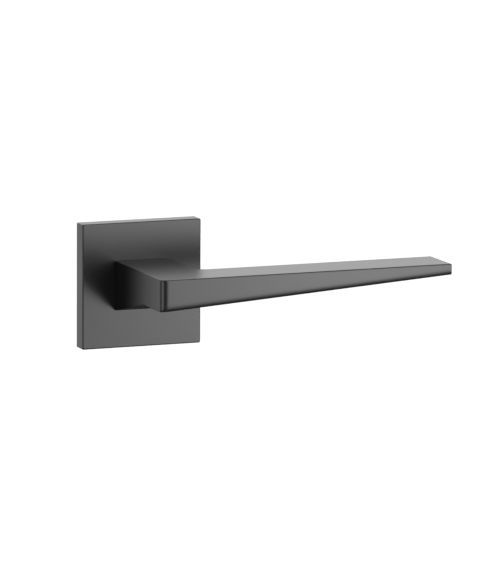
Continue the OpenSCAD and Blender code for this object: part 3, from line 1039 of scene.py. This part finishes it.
spindle_low, spindle_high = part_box("spindle")
spindle_half = spindle_high.x
end_break = 0.5 * MM
long_break = 0.4 * MM
spindle_loops = []
for y, drop in ((spindle_low.y, end_break), (spindle_low.y + end_break, 0),
                (spindle_high.y - end_break, 0), (spindle_high.y, end_break)):
    spindle_loops.append(square_loop(spindle_half - drop, long_break, y, side_steps=3, corner_steps=3))
spindle_form, spindle_rings = skin(spindle_loops, close=False, rounded={0, 2})
spindle_form.faces.new(spindle_rings[0])
spindle_form.faces.new(spindle_rings[-1])
spindle = finish_form(turn_out(spindle_form), "spindle_bar", bright_steel)
hand_in(spindle, "handle", "spindle")


# ---------- Drive hub ----------
# The zinc casting that the spindle turns: a flange with the stop lug, a slot for the spring's moving
# leg, and a boss with a groove for the retaining ring.

hub = finish_form(soften("drive_hub", 0.12 * MM), "hub", zinc_casting)
hand_in(hub, "handle", "drive_hub")


# ---------- Thrust washer ----------
# A flat washer turned from bright steel, between the spring cup and the wave washer.

def make_turned_rings():
    """Fine rings round the Y axis, as a lathe leaves them."""
    group, given, result = new_group(
        "turned_rings", [("Ring Scale", "NodeSocketFloat", 5200.0)], [("Height", "NodeSocketFloat")])
    place = group.nodes.new("ShaderNodeTexCoord").outputs["Object"]
    parts = group.nodes.new("ShaderNodeSeparateXYZ")
    group.links.new(place, parts.inputs[0])
    squares = math_node(group, "ADD", math_node(group, "POWER", math_node(group, "ABSOLUTE",
                                                                          parts.outputs["X"]), 2.0),
                        math_node(group, "POWER", math_node(group, "ABSOLUTE", parts.outputs["Z"]), 2.0))
    section = group.nodes.new("ShaderNodeCombineXYZ")
    group.links.new(math_node(group, "SQRT", squares), section.inputs["X"])
    group.links.new(parts.outputs["Y"], section.inputs["Y"])
    rings = noise_node(group, section.outputs[0], given.outputs["Ring Scale"], 2.0, 0.6)
    group.links.new(rings, result.inputs["Height"])
    return group


turned_steel = finish_coat("turned_steel", low=(0.48, 0.48, 0.48), high=(0.66, 0.66, 0.65),
                           gloss=0.28, spread=0.10, grain_scale=5000.0, grain_depth=0.000003,
                           rub=0.4, patch_scale=220.0, marks=make_turned_rings(),
                           mark_depth=0.00001)
washer_form = turned(ring_section(inner=8.0, outer=11.0, front=6.05, back=6.45, edge=0.08), spokes=96)
washer = finish_form(washer_form, "washer", turned_steel)
hand_in(washer, "handle", "thrust_washer")


# ---------- Wave washer ----------
# A thin ring of spring steel pressed into three waves, which takes up the lever's end float.

wave_low, wave_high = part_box("wave_washer")
wave_thick = 0.25
wave_middle = (wave_low.y + wave_high.y) / 2 / MM
wave_form = turned(ring_section(inner=8.05, outer=10.6, front=wave_middle - wave_thick / 2,
                                back=wave_middle + wave_thick / 2, edge=0.04), spokes=144)
wave_height = (wave_high.y - wave_low.y - wave_thick * MM) / 2
wave_count = 3
for vert in wave_form.verts:
    vert.co.y += wave_height * math.cos(wave_count * math.atan2(vert.co.z, vert.co.x))
wave_washer = finish_form(wave_form, "wave", spring_steel)
hand_in(wave_washer, "handle", "wave_washer")


# ---------- Retaining ring ----------
# A snap ring stamped from blackened steel, with two eyes for its pliers. It sits in the hub's groove
# and keeps the handle together.

snap_ring = finish_form(soften("retaining_ring", 0.07 * MM), "snap_ring", black_steel)
hand_in(snap_ring, "handle", "retaining_ring")


# ---------- Camera, floor and light ----------
# A long lens a little above the handle and to its left, over a plain pale floor. The studio is a
# bright backdrop behind, softboxes in front and at the left, and dark gaps between them.

camera_data = bpy.data.cameras.new("camera")
camera = bpy.data.objects.new("camera", camera_data)
bpy.context.scene.collection.objects.link(camera)
bpy.context.scene.camera = camera
azimuth = math.radians(-21.93)
elevation = math.radians(9.31)
roll = math.radians(0.34)
distance = 2.342
target = Vector((0.0479, -0.007, -0.00159))
camera_data.sensor_width = 36.0
camera_data.lens = 361.5
camera_data.clip_start = 0.05
camera_data.clip_end = 50.0
back = Vector((math.sin(azimuth) * math.cos(elevation), -math.cos(azimuth) * math.cos(elevation),
               math.sin(elevation)))
camera.location = target + back * distance
camera.rotation_mode = "QUATERNION"
camera.rotation_quaternion = (-back).to_track_quat("-Z", "Y")
camera.rotation_quaternion = Quaternion(back, roll) @ camera.rotation_quaternion

floor_radius = 12.0
floor_height = -0.35
floor_form = bmesh.new()
bmesh.ops.create_circle(floor_form, cap_ends=True, segments=96, radius=floor_radius)
bmesh.ops.translate(floor_form, verts=floor_form.verts, vec=(0, 0, floor_height))
floor = object_from(floor_form, "floor")
floor_material, _, floor_shader = new_material("pale_floor")
floor_shader.inputs["Base Color"].default_value = (0.9, 0.9, 0.9, 1)
floor_shader.inputs["Roughness"].default_value = 0.9
floor_shader.inputs["Emission Color"].default_value = (1, 1, 1, 1)
floor_shader.inputs["Emission Strength"].default_value = 0.75
floor.data.materials.append(floor_material)
floor.visible_glossy = False

world = bpy.data.worlds.new("studio")
bpy.context.scene.world = world
world.use_nodes = True
sky = world.node_tree
sky_colour = sky.nodes["Background"]
sky_colour.inputs["Color"].default_value = (1, 1, 1, 1)
sky_direction = sky.nodes.new("ShaderNodeTexCoord").outputs["Generated"]


def patch_of_light(direction, inner, outer, strength, tall=1.0):
    """A soft patch of light in a direction, full inside one angle and gone outside another, and
    stretched upright by tall."""
    squash = sky.nodes.new("ShaderNodeVectorMath")
    squash.operation = "MULTIPLY"
    squash.inputs[1].default_value = (1, 1, 1 / tall)
    sky.links.new(sky_direction, squash.inputs[0])
    unit = sky.nodes.new("ShaderNodeVectorMath")
    unit.operation = "NORMALIZE"
    sky.links.new(squash.outputs["Vector"], unit.inputs[0])
    dot = sky.nodes.new("ShaderNodeVectorMath")
    dot.operation = "DOT_PRODUCT"
    dot.inputs[1].default_value = Vector((direction[0], direction[1], direction[2] / tall)).normalized()
    sky.links.new(unit.outputs["Vector"], dot.inputs[0])
    ramp = sky.nodes.new("ShaderNodeMapRange")
    ramp.interpolation_type = "SMOOTHSTEP"
    ramp.inputs["From Min"].default_value = math.cos(math.radians(outer))
    ramp.inputs["From Max"].default_value = math.cos(math.radians(inner))
    ramp.inputs["To Max"].default_value = strength
    sky.links.new(dot.outputs["Value"], ramp.inputs["Value"])
    return ramp.outputs["Result"]


patches = [
    patch_of_light((0.50, 0.85, 0.30), inner=30, outer=48, strength=1.15),
    patch_of_light((-0.37, 0.91, 0.0), inner=20, outer=42, strength=0.50),
    patch_of_light((0.54, -0.78, 0.32), inner=14, outer=32, strength=1.08, tall=1.5),
    patch_of_light((-0.93, -0.37, 0.0), inner=15, outer=32, strength=0.65),
]
gloom = 0.07
total = patches[0]
for one in patches[1:]:
    total = math_node(sky, "ADD", total, one)
total = math_node(sky, "ADD", total, gloom)
seen = sky.nodes.new("ShaderNodeLightPath").outputs["Is Camera Ray"]
total = math_node(sky, "MAXIMUM", total, seen)
sky.links.new(total, sky_colour.inputs["Strength"])

softbox_data = bpy.data.lights.new("softbox", "AREA")
softbox_data.shape = "DISK"
softbox_data.size = 0.16
softbox_data.energy = 0.16
softbox = bpy.data.objects.new("softbox", softbox_data)
bpy.context.scene.collection.objects.link(softbox)
softbox.location = (0.285, -0.53, -0.08)
softbox_aim = Vector((0.11, -0.06, 0.0))
softbox.rotation_mode = "QUATERNION"
softbox.rotation_quaternion = (softbox_aim - softbox.location).to_track_quat("-Z", "Y")
softbox.visible_camera = False

bpy.context.scene.view_settings.view_transform = "Standard"
